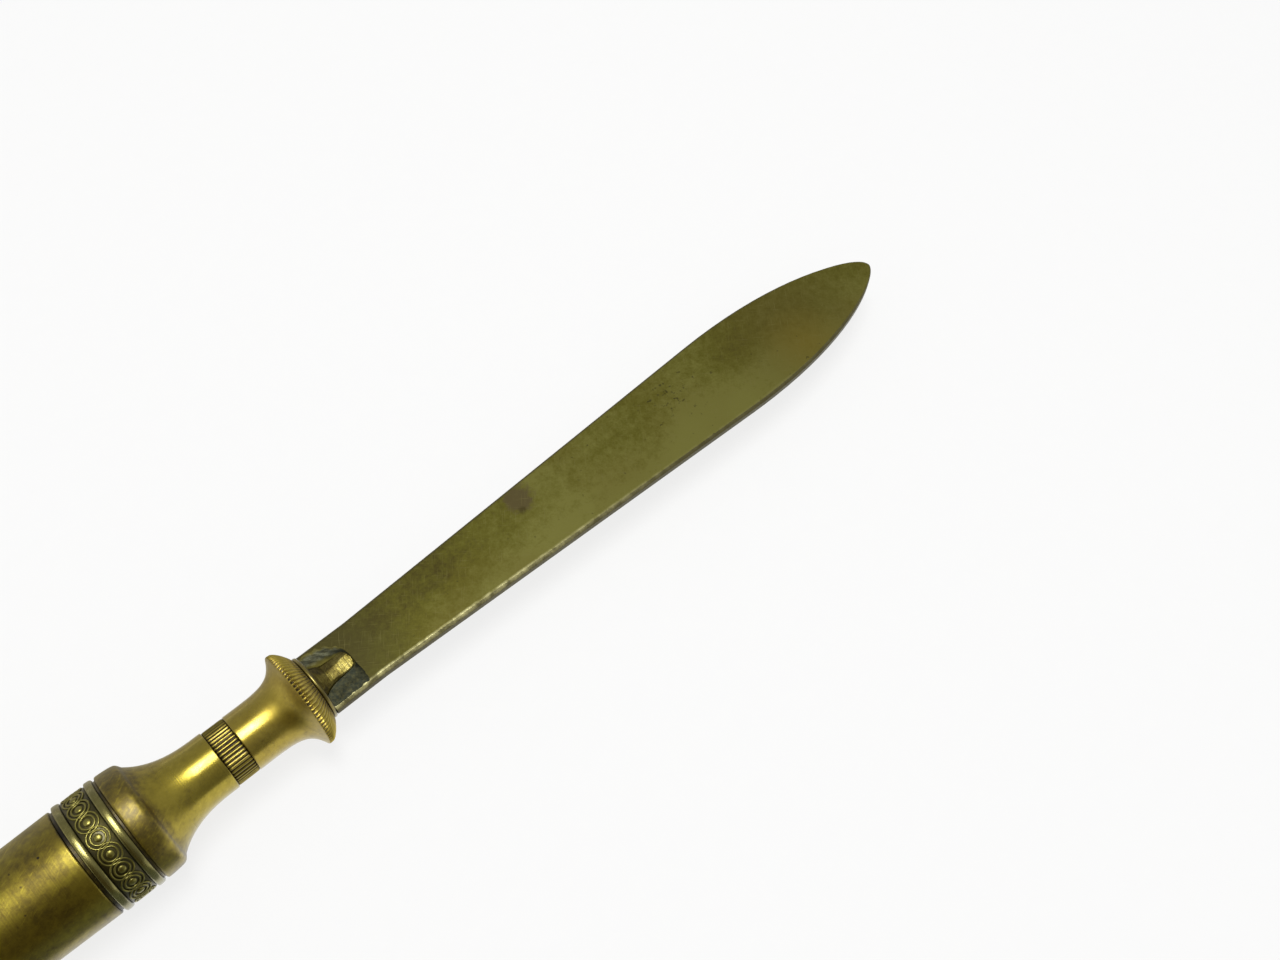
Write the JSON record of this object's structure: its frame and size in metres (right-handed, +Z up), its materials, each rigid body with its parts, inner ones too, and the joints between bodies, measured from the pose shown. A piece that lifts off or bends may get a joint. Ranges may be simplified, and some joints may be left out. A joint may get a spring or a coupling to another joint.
{
  "type": "letter opener",
  "caption": "Brass letter opener: a flat leaf-shaped blade soldered in a slotted rod, and a hollow turned handle with a milled rim, a fluted ring and a ring-and-dot frieze.",
  "frame": {"origin": "middle of the length, below the axis, on the surface that the widest bands lie on", "axes": "+X along the opener from the tail to the tip, +Z up, square to the blade's faces"},
  "size_m": [0.2, 0.0159, 0.0159],
  "materials": {
    "blade_brass": "flat drawn brass with an even olive-brown tarnish, mottled and pitted",
    "rod_brass": "turned brass, rubbed bright",
    "solder": "soft solder, dull grey-green",
    "mouth_brass": "turned brass, bright lip",
    "bell_brass": "turned brass, worn bright with light tarnish",
    "fluted_brass": "fluted brass with dark grooves",
    "band_brass": "turned brass, bright edges and dark grooves",
    "frieze_brass": "pressed brass, dark ground and rubbed motifs",
    "sleeve_brass": "plain brass tube, hidden",
    "tube_brass": "spun brass with olive tarnish, small dents and specks"
  },
  "bodies": {
    "root": {"blade": "blade_brass", "tang_rod": "rod_brass", "solder_seam": "solder", "mouth_plate": "mouth_brass", "front_bell": "bell_brass", "fluted_ring": "fluted_brass", "shoulder_bell": "bell_brass", "front_band": "band_brass", "frieze_band": "frieze_brass", "rear_band": "band_brass", "joint_sleeve": "sleeve_brass", "handle_tube": "tube_brass", "tail_cap": "tube_brass"}
  },
  "joints": []
}
